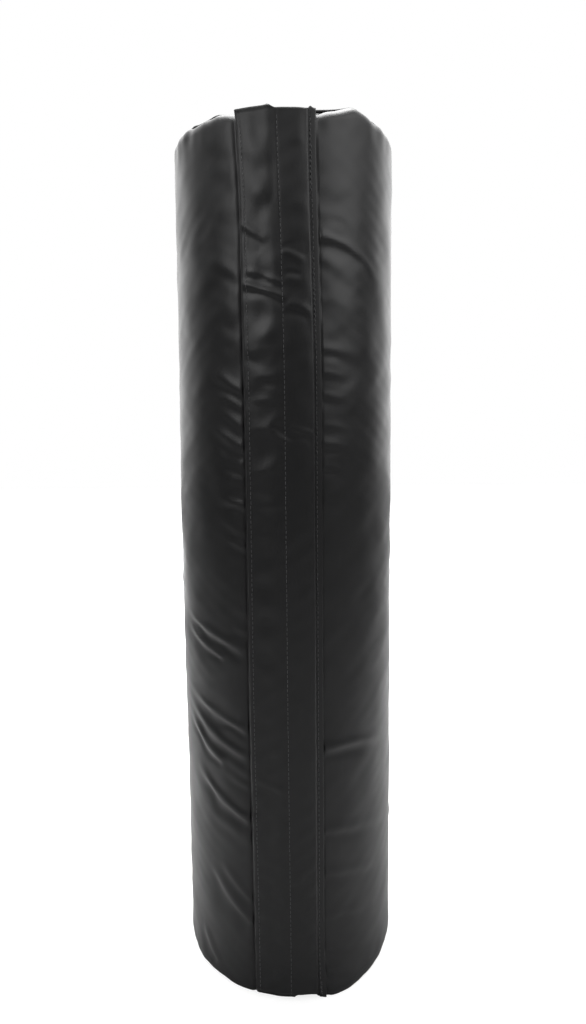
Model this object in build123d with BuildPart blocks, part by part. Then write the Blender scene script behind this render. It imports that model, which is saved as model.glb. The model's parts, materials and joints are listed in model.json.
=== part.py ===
"""Cylindrical grappling dummy: a filled vinyl bag that stands on its round base.

The cover is a vinyl wall with a round panel sewn into each end over a piping.  Its long
opening is closed by a zip, and a flap held with hook and loop tape covers the zip so that
it never scratches the user.  Inside are a foam sleeve, two foam pads and a sack of
shredded textile.

Frame: millimetres, origin at the centre of the base on the floor, +Z up.  The opening
faces -Y.  A place round the wall is given by s, the arc length along the wall's outer
surface from -Y, positive towards +X.
"""

import os
from math import cos, degrees, radians, sin, sqrt

from build123d import *

# --- Driving dimensions ---------------------------------------------------------------
bag_length = 1200.0
bag_diameter = 320.0
skin = 1.2  # coated vinyl sheet
corner_radius = 16.0  # how the filling rounds the wall's ends
corner_turn = 62.0  # degrees that the wall turns before its end seam
piping_diameter = 4.5
seam_allowance = 12.0  # turned up inside the bag at an end seam
floor_gap = 0.2  # between the piping and the plane that the base panel rests on

flap_width = 99.5  # free edge to folded edge
flap_shift = -2.3  # of the flap's middle from -Y
flap_end_gap = 5.0  # bare wall under the flap's lower end and over its upper end
hem_width = 8.2  # folded edge to the stitch line that the flap turns on
hem_return = 2.7  # of the folded layer beyond that stitch line
grip_tape_thickness = 1.3
grip_tape_edge = 2.9  # flap's free edge to the hook tape
grip_tape_end = 18.0  # bag's end to the ends of both tapes

zip_from_hinge = 19.25  # hinge line to the middle of the zip
zip_end = 50.0  # bag's end to the first tooth
zip_tape_width = 13.0  # one side, from the tooth row outwards
zip_tape_thickness = 0.7
zip_tape_past_teeth = 20.0
slit_past_teeth = 8.0
tooth_row_width = 4.4  # one side
tooth_row_gap = 1.2  # between the two rows
tooth_thickness = 3.8
stop_length = 4.0
stop_margin = 0.3  # a stop is this much thicker than the teeth, each way

slider_length = 20.0
slider_width = 14.0
slider_neck = 11.8  # width at the lower end
slider_plate = 1.5
slider_clearance = 0.2
slider_flange = 1.6
slider_post = 0.6
slider_round = 2.0  # corners of the slider's plates
tape_slot = 1.8  # between the slider's upper and lower flanges
bridge_width = 3.0
bridge_length = 9.0
bridge_height = 3.3
pull_length = 36.0
pull_width = 9.0
pull_thickness = 1.6
pull_bar_diameter = 1.6
pull_hole_diameter = 5.0
pull_pivot_rise = 1.35  # above the slider's upper plate
pull_play = 0.4  # between the pull and the slider's bridge

foam_thickness = 20.0
foam_room = 2.8  # between the wall and the foam, for the zip's tapes
foam_slit = 10.0  # half the gap that the foam leaves under the zip
sack_skin = 0.6

layer_gap = 0.1  # between layers that are sewn or lie together
body_gap = 0.3  # between pieces that move against each other

# --- Worked-out values ----------------------------------------------------------------
wall_radius = bag_diameter / 2
piping_radius = piping_diameter / 2

fold_s = flap_shift + flap_width / 2
free_edge_s = flap_shift - flap_width / 2
hinge_s = fold_s - hem_width
zip_place = hinge_s - zip_from_hinge  # s of the zip's middle
grip_tape_width = flap_width / 2 + 0.25  # hook tape and loop tape
grip_from_s = free_edge_s + grip_tape_edge
grip_to_s = grip_from_s + grip_tape_width

loop_inner = wall_radius + layer_gap / 2
loop_outer = loop_inner + grip_tape_thickness
hook_inner = loop_outer + body_gap
hook_outer = hook_inner + grip_tape_thickness
flap_inner = hook_outer + layer_gap / 2

hem_inner = wall_radius + layer_gap / 2
hem_middle = hem_inner + skin + body_gap / 2
hem_top = hem_inner + 2 * skin + body_gap

zip_tape_outer = wall_radius - skin - layer_gap
zip_tape_inner = zip_tape_outer - zip_tape_thickness
tooth_middle = (zip_tape_outer + zip_tape_inner) / 2 - wall_radius  # off the wall, outwards
tooth_low = tooth_middle - tooth_thickness / 2
tooth_high = tooth_middle + tooth_thickness / 2
tooth_row_inner = tooth_row_gap / 2
tooth_row_outer = tooth_row_inner + tooth_row_width
slit_half_width = slider_width / 2 + 1.0
slit_from = zip_end - slit_past_teeth
slit_to = bag_length - slit_from

slider_top = tooth_high + slider_clearance
slider_face = slider_top + slider_plate
slider_bottom = tooth_low - slider_clearance
bridge_top = slider_face + bridge_height
slider_upper_end = bag_length - zip_end - stop_length - slider_clearance
slider_middle = slider_upper_end - slider_length / 2
slider_lowest_end = zip_end + stop_length + slider_clearance
slide_travel = slider_upper_end - slider_length - slider_lowest_end
pull_pivot = slider_face + pull_pivot_rise
flap_crown = wall_radius + bridge_top + 1.0  # inside of the flap over the zip

wall_end_radius = wall_radius - corner_radius + (corner_radius - skin) * cos(radians(corner_turn))
piping_ring = wall_end_radius - piping_radius - layer_gap
piping_height = piping_radius + floor_gap
panel_radius = piping_ring - piping_radius - layer_gap
panel_bend = piping_radius + skin

foam_outer = wall_radius - skin - foam_room
foam_inner = foam_outer - foam_thickness
foam_from = seam_allowance + 1.0
pad_radius = foam_inner - 0.5
pad_from = skin + layer_gap
sack_from = pad_from + foam_thickness + layer_gap
sack_radius = pad_radius

os.makedirs("parts", exist_ok=True)


# --- Helpers --------------------------------------------------------------------------
def on_wall(s, radius):
    """The point at arc length s round the wall and this distance from the axis."""
    angle = s / wall_radius
    return (radius * sin(angle), -radius * cos(angle))


def arc_at(radius, from_s, to_s):
    """An arc round the bag's axis between two places on the wall."""
    start = degrees(from_s / wall_radius) - 90
    return CenterArc((0, 0), radius, start, degrees((to_s - from_s) / wall_radius))


def curved_strip(inner, outer, from_s, to_s):
    """Draws the outline of a strip that lies round the wall."""
    outside = arc_at(outer, from_s, to_s)
    inside = arc_at(inner, from_s, to_s)
    Line(outside @ 0, inside @ 0)
    Line(outside @ 1, inside @ 1)


def tangent_plane(s, height, rise=0.0):
    """The plane that touches the wall at s: x to the right, y up, z outwards."""
    angle = s / wall_radius
    x, y = on_wall(s, wall_radius + rise)
    return Plane(
        origin=(x, y, height), x_dir=(cos(angle), sin(angle), 0), z_dir=(sin(angle), -cos(angle), 0)
    )


def from_bottom(height):
    """The horizontal plane at this height."""
    return Plane.XY.offset(height)


def save(part, label):
    """Labels a finished piece and writes it as one STEP file."""
    part.label = label
    export_step(part, f"parts/{label}.step")


# --- Cover ----------------------------------------------------------------------------
with BuildPart() as cover_wall:
    with BuildSketch(Plane.XZ):
        corner_in = wall_radius - corner_radius
        with BuildLine():
            low_out = CenterArc((corner_in, corner_radius), corner_radius, -corner_turn, corner_turn)
            side_out = Line(low_out @ 1, (wall_radius, bag_length - corner_radius))
            high_out = CenterArc((corner_in, bag_length - corner_radius), corner_radius, 0, corner_turn)
            turn_in = corner_radius - skin
            low_in = CenterArc((corner_in, corner_radius), turn_in, -corner_turn, corner_turn)
            side_in = Line(low_in @ 1, (wall_radius - skin, bag_length - corner_radius))
            high_in = CenterArc((corner_in, bag_length - corner_radius), turn_in, 0, corner_turn)
            Line(low_out @ 0, low_in @ 0)
            Line(high_out @ 1, high_in @ 1)
        make_face()
    revolve(axis=Axis.Z)
    # The opening that the zip closes
    with BuildSketch(tangent_plane(zip_place, bag_length / 2)):
        RectangleRounded(2 * slit_half_width, slit_to - slit_from, slit_half_width / 2)
    extrude(amount=2 * skin, both=True, mode=Mode.SUBTRACT)
save(cover_wall.part, "cover_wall")

with BuildPart() as bottom_panel:
    with BuildSketch(Plane.XZ):
        with BuildLine():
            flat_out = Line((0, 0), (panel_radius - panel_bend, 0))
            bend_out = CenterArc((panel_radius - panel_bend, panel_bend), panel_bend, -90, 90)
            Line(bend_out @ 1, (panel_radius, seam_allowance))
            Line((panel_radius, seam_allowance), (panel_radius - skin, seam_allowance))
            bend_in = CenterArc((panel_radius - panel_bend, panel_bend), panel_bend - skin, -90, 90)
            Line((panel_radius - skin, seam_allowance), bend_in @ 1)
            Line(bend_in @ 0, (0, skin))
            Line((0, skin), (0, 0))
        make_face()
    revolve(axis=Axis.Z)
save(bottom_panel.part, "bottom_panel")

with BuildPart() as top_panel:
    add(bottom_panel.part.mirror(Plane.XY.offset(bag_length / 2)))
save(top_panel.part, "top_panel")

for label, height in (("bottom_piping", piping_height), ("top_piping", bag_length - piping_height)):
    with BuildPart() as piping:
        with BuildSketch(Plane.XZ):
            with Locations((piping_ring, height)):
                Circle(piping_radius)
        revolve(axis=Axis.Z)
    save(piping.part, label)

# --- Flap and its hook and loop tapes ----------------------------------------------------
flap_length = bag_length - 2 * flap_end_gap
# The flap lies on the grip tapes, rises over the zip and comes down to its hinge line
with BuildPart() as closure_flap:
    with BuildSketch(from_bottom(flap_end_gap)):
        with BuildLine():
            rise_s = grip_to_s + 1.0
            end_s = hinge_s - body_gap / 2
            along_end = Vector(cos(end_s / wall_radius), sin(end_s / wall_radius))
            for height in (0.0, skin):
                on_tapes = arc_at(flap_inner + height, free_edge_s, rise_s)
                over_zip = Spline(
                    on_tapes @ 1,
                    on_wall(zip_place, flap_crown + height),
                    on_wall(end_s, hem_top - skin + height),
                    tangents=[on_tapes % 1, along_end],
                )
            for s, height in ((free_edge_s, flap_inner), (end_s, hem_top - skin)):
                Line(on_wall(s, height), on_wall(s, height + skin))
        make_face()
    extrude(amount=flap_length)
save(closure_flap.part, "closure_flap")

with BuildPart() as flap_hem:
    with BuildSketch(from_bottom(flap_end_gap)):
        fold_outer = (hem_top - hem_inner) / 2
        fold_inner = body_gap / 2
        turn_s = fold_s - fold_outer
        with BuildLine():
            lower_out = arc_at(hem_inner, hinge_s - hem_return, turn_s)
            upper_out = arc_at(hem_top, hinge_s + body_gap / 2, turn_s)
            lower_in = arc_at(hem_inner + skin, hinge_s - hem_return, turn_s)
            upper_in = arc_at(hem_top - skin, hinge_s + body_gap / 2, turn_s)
            ThreePointArc(lower_out @ 1, on_wall(turn_s + fold_outer, hem_middle), upper_out @ 1)
            ThreePointArc(lower_in @ 1, on_wall(turn_s + fold_inner, hem_middle), upper_in @ 1)
            Line(lower_out @ 0, lower_in @ 0)
            Line(upper_out @ 0, upper_in @ 0)
        make_face()
    extrude(amount=flap_length)
save(flap_hem.part, "flap_hem")

for label, inner, outer in (
    ("loop_tape", loop_inner, loop_outer),
    ("hook_tape", hook_inner, hook_outer),
):
    with BuildPart() as grip_tape:
        with BuildSketch(from_bottom(grip_tape_end)):
            with BuildLine():
                curved_strip(inner, outer, grip_from_s, grip_to_s)
            make_face()
        extrude(amount=bag_length - 2 * grip_tape_end)
    save(grip_tape.part, label)

# --- Zip --------------------------------------------------------------------------------
tooth_rows_from = zip_end + stop_length
tooth_rows_length = bag_length - 2 * tooth_rows_from
tape_from = zip_end - zip_tape_past_teeth
tape_start = tooth_row_outer + layer_gap  # beside the tooth row

for side, label in ((-1, "left"), (1, "right")):
    with BuildPart() as zip_tape:
        inner_s = zip_place + side * tape_start
        outer_s = inner_s + side * zip_tape_width
        with BuildSketch(from_bottom(tape_from)):
            with BuildLine():
                curved_strip(zip_tape_inner, zip_tape_outer, min(inner_s, outer_s), max(inner_s, outer_s))
            make_face()
        extrude(amount=bag_length - 2 * tape_from)
    save(zip_tape.part, f"zip_tape_{label}")

    with BuildPart() as zip_teeth:
        with BuildSketch(tangent_plane(zip_place, bag_length / 2, tooth_low)):
            with Locations((side * (tooth_row_inner + tooth_row_outer) / 2, 0)):
                Rectangle(tooth_row_width, tooth_rows_length)
        extrude(amount=tooth_thickness)
        long_edges = zip_teeth.edges().filter_by(Axis.Z)
        fillet(long_edges, radius=0.6)
    save(zip_teeth.part, f"zip_teeth_{label}")

stop_low = tooth_low - stop_margin
stop_height = tooth_thickness + 2 * stop_margin
with BuildPart() as zip_top_stops:
    with BuildSketch(tangent_plane(zip_place, bag_length - zip_end - stop_length / 2, stop_low)):
        with Locations(
            *[(side * (tooth_row_inner + tooth_row_outer) / 2, 0) for side in (-1, 1)]
        ):
            Rectangle(tooth_row_width, stop_length)
    extrude(amount=stop_height)
    fillet(zip_top_stops.edges().filter_by(Axis.Z), radius=0.8)
save(zip_top_stops.part, "zip_top_stops")

with BuildPart() as zip_bottom_stop:
    with BuildSketch(tangent_plane(zip_place, zip_end + stop_length / 2, stop_low)):
        Rectangle(2 * tooth_row_outer, stop_length)
    extrude(amount=stop_height)
    fillet(zip_bottom_stop.edges().filter_by(Axis.Z), radius=0.8)
save(zip_bottom_stop.part, "zip_bottom_stop")

# --- Slider and pull ----------------------------------------------------------------------
half_width = slider_width / 2
half_neck = slider_neck / 2
half_length = slider_length / 2
shoulder = 0.1 * slider_length  # height where the plate starts to narrow


# The plate's outline: wide shoulders at the top and a narrower lower end
slider_corners = [
    (-half_width, half_length),
    (half_width, half_length),
    (half_width, shoulder),
    (half_neck, -half_length),
    (-half_neck, -half_length),
    (-half_width, shoulder),
]

with BuildPart() as zip_slider:
    for rise in (slider_bottom - slider_plate, slider_top):
        with BuildSketch(tangent_plane(zip_place, slider_middle, rise)) as plate:
            Polygon(*slider_corners, align=None)
            fillet(plate.vertices(), radius=slider_round)
        extrude(amount=slider_plate)
    # Flanges that keep the teeth in line, with a slot for the tape between them
    slot_low = tooth_middle - tape_slot / 2
    for rise, height in (
        (slider_bottom, slot_low - slider_bottom),
        (slot_low + tape_slot, slider_top - slot_low - tape_slot),
    ):
        with BuildSketch(tangent_plane(zip_place, slider_middle, rise)) as flanges:
            Polygon(*slider_corners, align=None)
            fillet(flanges.vertices(), radius=slider_round)
            Rectangle(2 * (half_width - slider_flange), 2 * slider_length, mode=Mode.SUBTRACT)
        extrude(amount=height)
    # Post that joins the two plates between the tooth rows
    with BuildSketch(tangent_plane(zip_place, slider_middle, slider_bottom)):
        with Locations((0, half_length - slider_round - 1)):
            Rectangle(slider_post, slider_round * 2)
    extrude(amount=slider_top - slider_bottom)
    # Bridge that holds the pull, with the hole that its bar turns in
    bridge_side = Plane(
        origin=tangent_plane(zip_place, slider_middle, slider_face).origin,
        x_dir=(0, 0, 1),
        z_dir=tangent_plane(zip_place, 0).x_dir,
    )
    with BuildSketch(bridge_side):
        with BuildLine():
            base = Line((-bridge_length / 2, 0), (bridge_length / 2, 0))
            ThreePointArc(base @ 1, (0, bridge_height), base @ 0)
        make_face()
        with Locations((0, pull_pivot_rise)):
            Circle(pull_bar_diameter / 2 + layer_gap, mode=Mode.SUBTRACT)
    extrude(amount=bridge_width / 2, both=True)
save(zip_slider.part, "zip_slider")

# The pull hangs down from its bar, flat against the slider
pull_plane = tangent_plane(zip_place, slider_middle, pull_pivot - pull_thickness / 2)
eye_half = bridge_width / 2 + pull_play
eye_depth = bridge_length / 2 + pull_play
arm_end = pull_pivot_rise - slider_clearance  # of the pull above its bar, clear of the plate
with BuildPart() as zip_pull:
    with BuildSketch(pull_plane) as tab:
        with Locations((0, (arm_end - pull_length) / 2)):
            Rectangle(pull_width, pull_length + arm_end)
        fillet(tab.vertices().group_by(Axis.Z)[0], radius=pull_width / 3)
        with Locations((0, (arm_end - eye_depth) / 2)):
            Rectangle(2 * eye_half, eye_depth + arm_end, mode=Mode.SUBTRACT)
        with Locations((0, -pull_length + pull_width / 2 + 1)):
            Circle(pull_hole_diameter / 2, mode=Mode.SUBTRACT)
    extrude(amount=pull_thickness)
    # Rounded upper ends, so that the arms turn clear of the plate
    across = Axis((0, 0, 0), tuple(pull_plane.x_dir))
    arm_edges = zip_pull.edges().filter_by(across).group_by(Axis.Z)[-1]
    fillet(arm_edges, radius=pull_thickness / 2 - 0.05)
    with BuildSketch(
        Plane(
            origin=tangent_plane(zip_place, slider_middle, pull_pivot).origin,
            x_dir=(0, 0, 1),
            z_dir=pull_plane.x_dir,
        )
    ):
        Circle(pull_bar_diameter / 2)
    extrude(amount=eye_half + 0.2, both=True)
save(zip_pull.part, "zip_pull")

# --- Filling ------------------------------------------------------------------------------
with BuildPart() as foam_sleeve:
    with BuildSketch(from_bottom(foam_from)):
        Circle(foam_outer)
        Circle(foam_inner, mode=Mode.SUBTRACT)
    extrude(amount=bag_length - 2 * foam_from)
    with BuildSketch(tangent_plane(zip_place, bag_length / 2)):
        Rectangle(2 * foam_slit, bag_length)
    extrude(amount=-(wall_radius - foam_inner + foam_thickness), mode=Mode.SUBTRACT)
save(foam_sleeve.part, "foam_sleeve")

for label, height in (
    ("bottom_foam_pad", pad_from),
    ("top_foam_pad", bag_length - pad_from - foam_thickness),
):
    with BuildPart() as foam_pad:
        with BuildSketch(from_bottom(height)):
            Circle(pad_radius)
        extrude(amount=foam_thickness)
        fillet(foam_pad.edges(), radius=2.0)
    save(foam_pad.part, label)

with BuildPart() as inner_sack:
    with BuildSketch(from_bottom(sack_from)):
        Circle(sack_radius)
    extrude(amount=bag_length - 2 * sack_from)
    with BuildSketch(from_bottom(sack_from + sack_skin)):
        Circle(sack_radius - sack_skin)
    extrude(amount=bag_length - 2 * sack_from, mode=Mode.SUBTRACT)
save(inner_sack.part, "inner_sack")

with BuildPart() as textile_fill:
    with BuildSketch(from_bottom(sack_from + sack_skin + layer_gap)):
        Circle(sack_radius - sack_skin - layer_gap)
    extrude(amount=bag_length - 2 * sack_from - sack_skin - 2 * layer_gap)
save(textile_fill.part, "textile_fill")
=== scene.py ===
import json
from math import pi, radians, tau

import bmesh
import bpy
import numpy as np
from bpy.props import FloatProperty, FloatVectorProperty, IntProperty, PointerProperty
from mathutils import Matrix, Vector


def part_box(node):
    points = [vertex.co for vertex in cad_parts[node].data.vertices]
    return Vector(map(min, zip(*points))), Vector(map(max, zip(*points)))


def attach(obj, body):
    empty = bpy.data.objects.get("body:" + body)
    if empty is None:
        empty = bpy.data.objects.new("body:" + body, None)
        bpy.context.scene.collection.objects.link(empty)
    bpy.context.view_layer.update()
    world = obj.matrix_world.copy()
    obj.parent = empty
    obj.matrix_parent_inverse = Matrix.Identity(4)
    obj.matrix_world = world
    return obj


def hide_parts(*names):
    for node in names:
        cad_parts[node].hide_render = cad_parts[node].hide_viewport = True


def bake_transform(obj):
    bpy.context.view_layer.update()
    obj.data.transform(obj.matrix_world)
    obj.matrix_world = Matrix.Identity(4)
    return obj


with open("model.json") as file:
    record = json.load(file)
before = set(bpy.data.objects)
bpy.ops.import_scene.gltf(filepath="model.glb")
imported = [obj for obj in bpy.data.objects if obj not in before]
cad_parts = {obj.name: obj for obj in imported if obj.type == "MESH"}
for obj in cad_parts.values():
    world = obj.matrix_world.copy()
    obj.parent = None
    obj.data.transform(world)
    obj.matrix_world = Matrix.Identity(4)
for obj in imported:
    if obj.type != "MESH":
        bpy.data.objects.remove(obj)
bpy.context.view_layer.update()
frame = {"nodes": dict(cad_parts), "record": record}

bl_info = {
    "name": "Grappling dummy",
    "version": (1, 0, 0),
    "blender": (4, 5, 0),
    "location": "View3D > Sidebar > Dummy",
    "description": "Builds a stuffed vinyl grappling dummy round its packed frame",
    "category": "Object",
}

MM = 0.001


# --- Places taken from the frame ---------------------------------------------------------
def corners_of(node):
    """Every vertex of a CAD node as an array, in metres."""
    mesh = frame["nodes"][node].data
    points = np.zeros(len(mesh.vertices) * 3)
    mesh.vertices.foreach_get("co", points)
    return points.reshape(-1, 3)


def farthest(node):
    """A CAD node's greatest distance from the upright axis."""
    points = corners_of(node)
    return float(np.hypot(points[:, 0], points[:, 1]).max())


def nearest(node):
    """A CAD node's least distance from the upright axis."""
    points = corners_of(node)
    return float(np.hypot(points[:, 0], points[:, 1]).min())


def places(node):
    """The least and greatest place round the wall that a CAD node reaches, in metres of arc."""
    points = corners_of(node)
    arc = RADIUS * np.arctan2(points[:, 0], -points[:, 1])
    return float(arc.min()), float(arc.max())


def heights(node):
    """A CAD node's lowest and highest point."""
    low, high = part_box(node)
    return low.z, high.z


RADIUS = farthest("cover_wall")
HEIGHT = heights("top_panel")[1]
AROUND = tau * RADIUS
HINGE = next(
    j for j in frame["record"]["behaviour"]["joints"] if j["name"] == "flap_open"
)["pos_m"]
HINGE_AT = RADIUS * float(np.arctan2(HINGE[0], -HINGE[1]))
FREE_EDGE = places("closure_flap")[0]
FOLD_EDGE = places("flap_hem")[1]
HEM_BACK = places("flap_hem")[0]
HEM_TOP = farthest("flap_hem") - RADIUS
ZIP_AT = sum(places("zip_slider")) / 2
TAPE_FROM, TAPE_TO = places("hook_tape")
SLIT_HALF = 8 * MM
SLIT_LOW = heights("zip_bottom_stop")[0] - 8 * MM
SLIT_HIGH = heights("zip_top_stops")[1] + 8 * MM
SHEET = 1.2 * MM
# How far the weight pushes the lower seam out
FOOT_OUT = 6.5 * MM


# --- Shapes as functions -------------------------------------------------------------------
def smooth(x):
    """0 below 0, 1 above 1, and 3x^2 - 2x^3 between."""
    x = np.clip(x, 0, 1)
    return x * x * (3 - 2 * x)


def bell(x):
    """e to the minus x squared."""
    return np.exp(-np.square(x))


def round_wall(s, radius, z):
    """Points at arc length s from the front, at a radius and a height: x = r sin(s/R), y = -r cos(s/R)."""
    turn = s / RADIUS
    return np.stack(np.broadcast_arrays(radius * np.sin(turn), -radius * np.cos(turn), z), -1)


def ripples(s, z, seed, waves, around, upward):
    """Sum of cosines with seeded phases, closed round the wall: cos(m s/R + k z + phase), m and k drawn
    from plus or minus the ranges around and upward, divided by the root of their number."""
    pick = np.random.default_rng(seed)
    total = 0.0
    for _ in range(waves):
        m = pick.integers(around[0], around[1] + 1)
        k = pick.uniform(*upward) * pick.choice([-1, 1])
        total = total + np.cos(m * s / RADIUS + k * z + pick.uniform(0, tau))
    return total / np.sqrt(waves)


def fold(s, z, start, end, depth, width, bow=0.0, under=0.75, fade=(0.5, 0.12)):
    """Relief of one crease: a rounded ridge along the line from start to end, with a hollow under it.
    The line bows upwards by bow in its middle. Across it the height is bell(d/w) minus under times
    bell((d + 1.7w)/1.3w), with d the distance above the line; along it the height fades in and out."""
    run, rise = end[0] - start[0], end[1] - start[1]
    length = np.hypot(run, rise)
    along = ((s - start[0]) * run + (z - start[1]) * rise) / length**2
    above = ((z - start[1]) * run - (s - start[0]) * rise) / length * np.sign(run)
    above = above - bow * 4 * along * (1 - along)
    taper = smooth(along / fade[0]) * smooth((1 - along) / fade[1])
    ridge = bell(above / width) - under * bell((above + 1.7 * width) / (1.3 * width))
    return depth * taper * ridge


# Creases in the wall: from, to, depth, width, bow, in millimetres
LEFT_CREASES = [
    ((-116, 1034), (-50, 992), 0.9, 10, 2),
    ((-112, 886), (-46, 846), 2, 6.2, -2),
    ((-102, 852), (-48, 826), 0.9, 5.6, 0),
    ((-98, 830), (-48, 798), 1.3, 6.2, 0),
    ((-112, 810), (-46, 772), 2.2, 5.8, -2),
    ((-92, 774), (-48, 750), 1.2, 6.2, 0),
    ((-90, 742), (-50, 727), 0.6, 7.5, 0),
    ((-74, 722), (-48, 716), 0.8, 5, 0),
    ((-104, 712), (-46, 698), 1.6, 5.8, -1),
    ((-96, 682), (-48, 662), 0.9, 6.2, -1),
    ((-88, 656), (-46, 640), 1.5, 5, 0),
    ((-84, 560), (-50, 553), 0.6, 7.5, 0),
    ((-82, 536), (-48, 524), 1.2, 5, 0),
    ((-190, 548), (-50, 503), 2.2, 6.2, -5),
    ((-186, 528), (-90, 486), 1.8, 5.6, -4),
    ((-190, 436), (-48, 388), 2.2, 6.9, -5),
    ((-188, 418), (-50, 350), 2.4, 6.2, -9),
    ((-182, 396), (-92, 334), 2.4, 6.2, -8),
    ((-106, 350), (-48, 322), 1.2, 5, -2),
    ((-100, 330), (-50, 306), 1.2, 5, -2),
    ((-164, 326), (-46, 258), 3.2, 7.5, -9),
    ((-126, 262), (-48, 232), 1.1, 8.8, -3),
    ((-132, 178), (-46, 102), 2.6, 8.8, -2),
    ((-110, 192), (-50, 138), 1.5, 6.2, -2),
    ((-156, 70), (-112, 22), 2.2, 7.5, -3),
    ((-150, 1178), (-60, 1150), 0.8, 16.2, 8),
    ((-128, 1146), (-54, 1118), 0.6, 12.5, 4),
    ((-100, 1090), (-50, 1076), 0.7, 10, 0),
    ((-92, 960), (-48, 944), 0.7, 8.8, 0),
]
RIGHT_CREASES = [
    ((44, 1046), (150, 996), 1.9, 6.5, 13),
    ((46, 1020), (124, 974), 0.7, 8, 8),
    ((44, 905), (118, 894), 1.1, 7, 3),
    ((44, 874), (98, 868), 0.9, 6, 1),
    ((44, 846), (96, 838), 0.9, 5, 1),
    ((44, 806), (100, 797), 0.8, 5, 2),
    ((44, 782), (104, 772), 1.1, 5, 2),
    ((44, 752), (90, 745), 0.8, 4.5, 1),
    ((44, 702), (92, 695), 0.5, 8, 0),
    ((44, 362), (196, 334), 2.4, 6.5, 11),
    ((44, 244), (180, 216), 1.8, 7, 5),
    ((44, 182), (170, 150), 1.6, 7, 5),
    ((44, 116), (142, 98), 1.1, 8, 4),
    ((44, 70), (120, 54), 1.2, 7, 2),
    ((44, 36), (92, 22), 2.0, 5, 4),
    ((44, 1108), (120, 1096), 0.6, 10, 4),
    ((44, 1076), (110, 1068), 0.5, 8, 2),
    ((44, 968), (110, 958), 0.6, 9, 2),
]
BACK_CREASES = [
    ((210, 880), (330, 846), 1.6, 7, 6),
    ((250, 560), (380, 584), 1.8, 8, -6),
    ((300, 300), (420, 262), 2.0, 7, 8),
    ((420, 980), (540, 1008), 1.4, 8, -6),
    ((470, 690), (580, 660), 1.6, 7, 5),
    ((520, 420), (660, 452), 1.8, 8, -8),
    ((610, 170), (720, 140), 1.8, 7, 6),
    ((660, 820), (770, 796), 1.4, 7, 4),
    ((700, 560), (800, 590), 1.4, 7, -5),
    ((200, 200), (300, 176), 1.6, 7, 6),
]
# Creases in the flap
FLAP_CREASES = [
    ((-58, 988), (4, 964), 2.2, 4.2, 2),
    ((-52, 1004), (2, 982), 1.2, 4, 2),
    ((-58, 1064), (-18, 1036), 1.6, 7, 0),
    ((-4, 1030), (30, 1020), -1.3, 6, 3),
    ((0, 998), (22, 994), -0.9, 4, 1),
    ((0, 960), (36, 946), 0.9, 6, 3),
    ((-22, 806), (14, 786), -1.6, 6, 3),
    ((0, 802), (42, 792), 0.9, 4, 1),
    ((-50, 902), (-8, 884), 0.8, 8, 2),
    ((-50, 862), (-8, 846), 0.7, 7, 2),
    ((-50, 742), (-6, 724), 0.7, 8, 2),
    ((-50, 690), (-6, 668), 0.6, 9, 2),
    ((-46, 322), (-2, 306), 1.0, 5, 1),
    ((-50, 420), (-6, 400), 0.5, 8, 1),
    ((-44, 206), (-6, 196), 0.5, 6, 1),
    ((-34, 156), (-8, 142), -0.8, 5, 1),
    ((-4, 146), (30, 116), -1.0, 5, 2),
    ((-14, 60), (38, 44), 0.7, 8, 3),
    ((-40, 48), (0, 36), 0.5, 7, 2),
]


def creases(s, z, listed, **how):
    """The sum of the listed creases, each a little wider here and narrower there."""
    total = np.zeros(np.broadcast(s, z).shape)
    share = bpy.context.scene.dummy_sizes.crease_share
    swell = 1 + 0.22 * ripples(s, z, 77, 6, (4, 18), (20, 90))
    for start, end, depth, width, bow in listed:
        ends = [a * MM for a in start], [a * MM for a in end]
        total += fold(s, z, *ends, share * depth * MM, width * MM * swell, bow * MM, **how)
    return total


def edge_lean(z):
    """How far the flap's free edge lies off its cut line: right at the foot, left at the head."""
    return (2 - 3.5 * smooth(z / 0.5) - 1.5 * smooth((z - 0.8) / 0.2) - 7 * smooth((z - 1.04) / 0.2)) * MM


def hem_lean(z):
    """How far the hem's head lies left of its cut line."""
    return -6.0 * MM * smooth((z - 0.85) / 0.35)


def leaned(s, z):
    """Where a place across the flap lies once its edge leans: all of the lean at the edge, and the hem's
    lean at the hinge."""
    share = 1 - smooth((s + 42 * MM) / (66 * MM))
    return s + edge_lean(z) * share + hem_lean(z) * (1 - share)


def beside_flap(s, z):
    """0 under the flap and its hem and 1 outside them, smooth over a few millimetres."""
    left = smooth((s - FREE_EDGE - edge_lean(z) + 5 * MM) / (4 * MM))
    return 1 - left * smooth((FOLD_EDGE + hem_lean(z) + 3.5 * MM - s) / (3 * MM))


def edge_groove(s, z):
    """The wall beside the flap: a narrow groove along the free edge and a shallow one along the hem, and the
    swell of the filling past each."""
    left = FREE_EDGE + edge_lean(z) - s
    right = s - FOLD_EDGE - hem_lean(z)
    deep = 5.2 * (1 - 0.8 * smooth((z - 0.86) / 0.16)) * smooth((z - 0.01) / 0.12)
    groove = -deep * bell((left - 0.7 * MM) / (2.0 * MM)) - 0.8 * bell((right - 0.2 * MM) / (0.9 * MM))
    swell = 1.5 * smooth(left / (9 * MM)) * smooth((70 * MM - left) / (60 * MM))
    swell = swell + 0.5 * smooth(right / (4 * MM)) * smooth((70 * MM - right) / (60 * MM))
    return (groove + swell) * MM


def body_bulge(s, z):
    """How the filling pushes the whole cover out: a foot at the lower right and a swelling in the left side."""
    wide = np.where(s < 60 * MM, 24, 72) * MM
    foot = 12.5 * MM * bell((s - 60 * MM) / wide) * bell(z / (38 * MM))
    left_side = 2.4 * MM * bell((s + 230 * MM) / (90 * MM)) * bell((z - 0.5 * HEIGHT) / (240 * MM))
    return foot + left_side


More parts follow.
